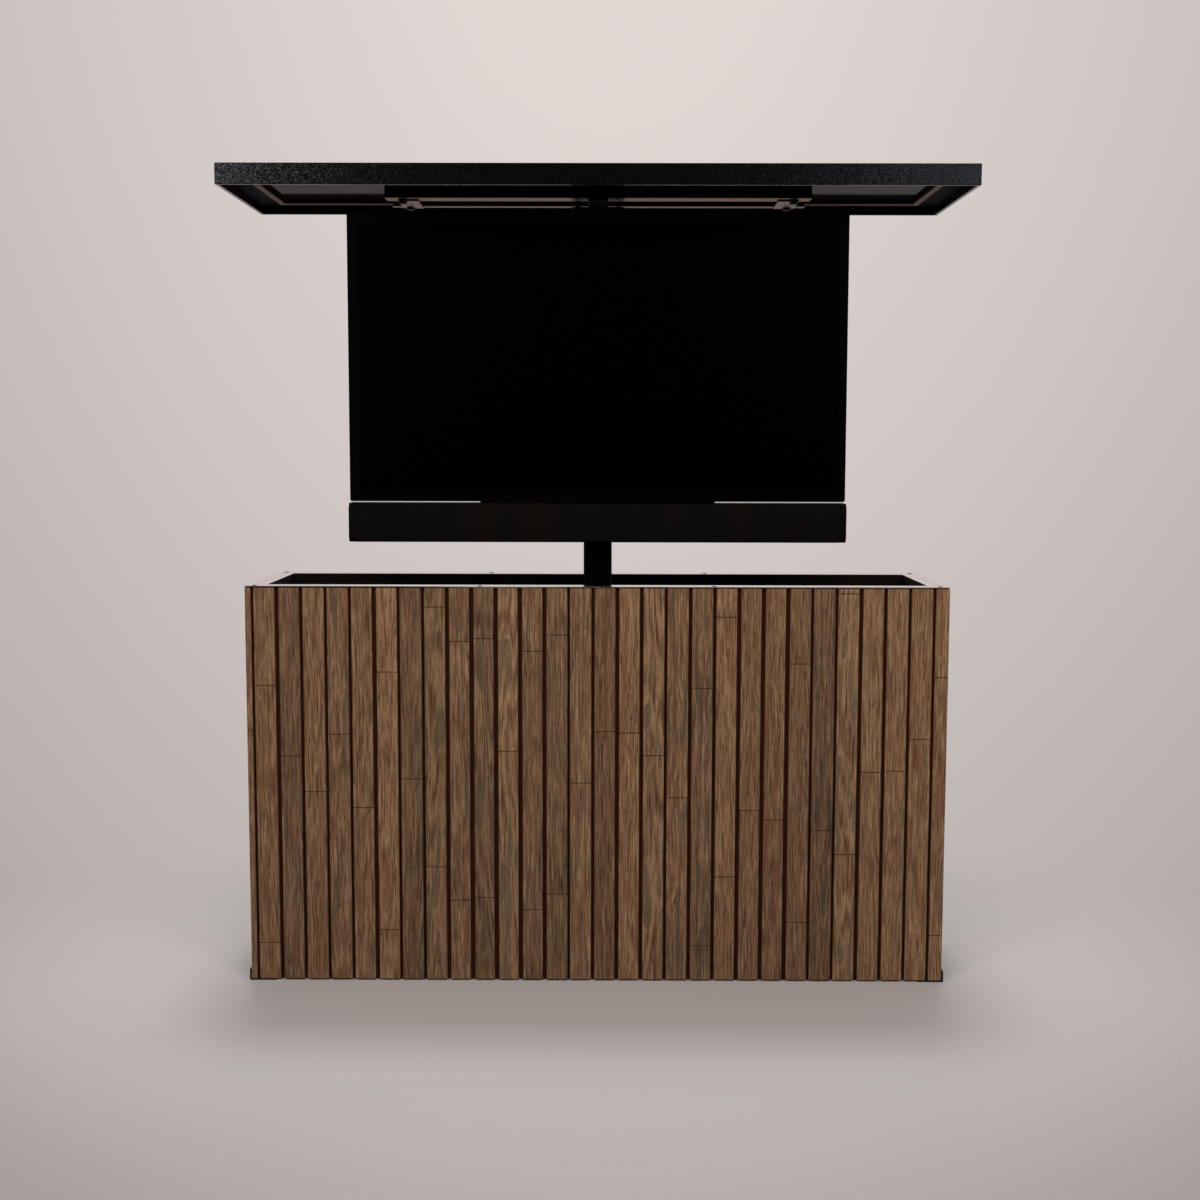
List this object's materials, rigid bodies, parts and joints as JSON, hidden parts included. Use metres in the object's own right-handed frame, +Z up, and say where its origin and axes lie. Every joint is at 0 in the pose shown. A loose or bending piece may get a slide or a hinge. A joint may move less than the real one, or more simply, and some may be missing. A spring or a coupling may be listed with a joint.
{
  "type": "tv lift cabinet",
  "caption": "Slatted outdoor cabinet whose lift column raises a flat television, a sound bar and the cabinet's lid, shown raised.",
  "frame": {"origin": "on the floor, under the middle of the lid and of the cabinet", "axes": "+Z up, +X to the viewer's right, -Y towards the viewer, out of the screen"},
  "size_m": [1.653, 0.47, 1.8239],
  "materials": {
    "backing_board": "dark stained weatherproof board",
    "plywood": "plain plywood",
    "batten_timber": "dark stained softwood",
    "slat_timber": "oiled brown hardwood, streaked and matt",
    "black_moulding": "moulded, matt",
    "black_screw": "blackened steel",
    "rim_metal": "satin anodised",
    "shoe_steel": "dark enamel",
    "lid_enamel": "textured black enamel",
    "lid_core": "black coated core board",
    "ceiling_laminate": "glossy",
    "seal_foam": "grey compression seal",
    "column_enamel": "satin black enamel",
    "glide_plastic": "black acetal",
    "zinc_bolt": "zinc plated",
    "zinc_plate": "zinc plated",
    "cast_alloy": "die cast, plain",
    "bearing_steel": "ground",
    "brass": "machined",
    "motor_case": "black enamel",
    "carrier_enamel": "satin black enamel",
    "isolator_rubber": "black",
    "tv_frame": "fine satin black",
    "tv_glass": "anti-glare glass over a dark panel",
    "tv_cover": "moulded, matt",
    "bar_case": "moulded, satin",
    "bar_cloth": "tight black speaker cloth"
  },
  "bodies": {
    "cabinet": {"front_panel": "backing_board", "side_panels": "backing_board", "back_panels": "backing_board", "access_panel": "backing_board", "base_panel": "plywood", "top_battens": "batten_timber", "corner_battens": "batten_timber", "front_slats": "slat_timber", "left_slats": "slat_timber", "right_slats": "slat_timber", "back_slats": "slat_timber", "access_slats": "slat_timber", "vent_grilles": "black_moulding", "cable_outlet": "black_moulding", "access_screws": "black_screw", "top_rim": "rim_metal", "rim_screws": "black_screw", "corner_shoes": "shoe_steel", "outer_tube": "column_enamel", "outer_tube_collar": "glide_plastic", "lift_base_plate": "column_enamel", "anchor_bolts": "zinc_bolt", "gearbox": "cast_alloy", "screw_bearing": "bearing_steel", "gearmotor": "motor_case", "column_brace": "column_enamel", "control_box": "black_moulding", "power_inlet": "black_moulding"},
    "drive_screw": {"drive_screw": "bearing_steel"},
    "mid_stage": {"mid_tube": "column_enamel", "mid_tube_collar": "glide_plastic", "mid_tube_glide": "glide_plastic", "drive_nut": "brass"},
    "tv_carriage": {"inner_tube": "column_enamel", "inner_tube_glide": "glide_plastic", "head_plate": "carrier_enamel", "head_bolts": "zinc_bolt", "isolator_pad": "isolator_rubber", "centre_tie": "zinc_plate", "end_plates": "zinc_plate", "carrier_bolts": "black_screw", "front_rail": "carrier_enamel", "rear_rail": "carrier_enamel", "lid_shell": "lid_enamel", "lid_soffit": "lid_core", "lid_ceiling_panel": "ceiling_laminate", "lid_seal": "seal_foam", "mount_hanger": "carrier_enamel", "cross_rails": "carrier_enamel", "mount_arms": "carrier_enamel", "mount_screws": "zinc_bolt", "tv_bezel": "tv_frame", "tv_screen": "tv_glass", "tv_display_module": "tv_cover", "tv_back_cover": "tv_cover", "sound_bar_body": "bar_case", "sound_bar_grille": "bar_cloth", "sound_bar_end_caps": "bar_case", "sound_bar_bracket": "carrier_enamel"}
  },
  "joints": [
    {"name": "lift_lower_stage", "type": "slide", "parent": "cabinet", "child": "mid_stage", "axis": [0, 0, 1], "range_m": [-0.4438, 0]},
    {"name": "lift_upper_stage", "type": "slide", "parent": "mid_stage", "child": "tv_carriage", "axis": [0, 0, 1], "range_m": [-0.4438, 0]},
    {"name": "drive_screw_spin", "type": "hinge", "parent": "cabinet", "child": "drive_screw", "pos_m": [0, 0.086, 0.07], "axis": [0, 0, 1], "range_deg": [-7990.4, 0]}
  ],
  "couplings": [
    {"joint": "lift_upper_stage", "follows": "lift_lower_stage", "ratio": 1},
    {"joint": "drive_screw_spin", "follows": "lift_lower_stage", "rad_per_m": 314.16}
  ]
}
